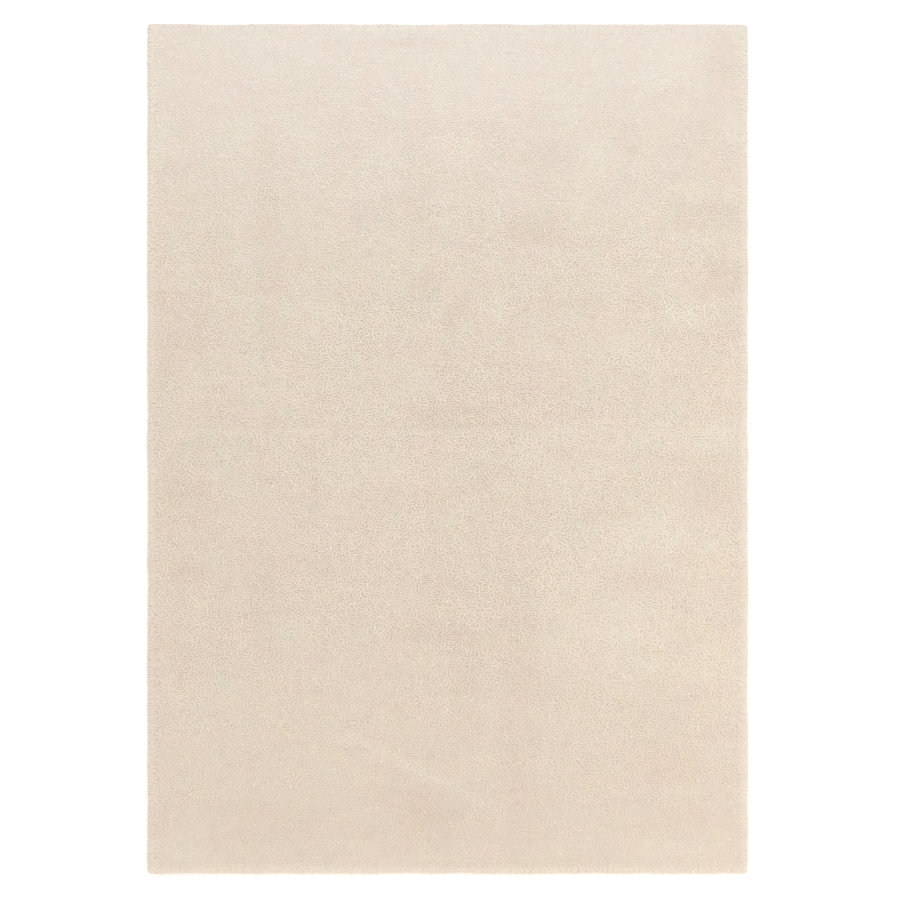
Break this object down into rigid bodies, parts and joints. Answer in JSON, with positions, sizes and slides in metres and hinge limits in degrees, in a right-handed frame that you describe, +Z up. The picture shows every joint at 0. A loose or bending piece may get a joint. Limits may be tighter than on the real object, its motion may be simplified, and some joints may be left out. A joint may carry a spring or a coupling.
{
  "type": "shag rug",
  "caption": "Flat rectangular cream shag rug with a short, dense plush pile, faint old fold lines and a soft tufted rim.",
  "frame": {"origin": "on the floor under the middle of the rug", "axes": "+X across the rug, +Y along it, towards the end at the top of the picture, and +Z up out of the pile"},
  "size_m": [1.2116, 1.7118, 0.0246],
  "materials": {
    "pile": "matt, dense short plush pile of soft cream polyester yarn"
  },
  "bodies": {
    "root": {"rug": "pile"}
  },
  "joints": []
}
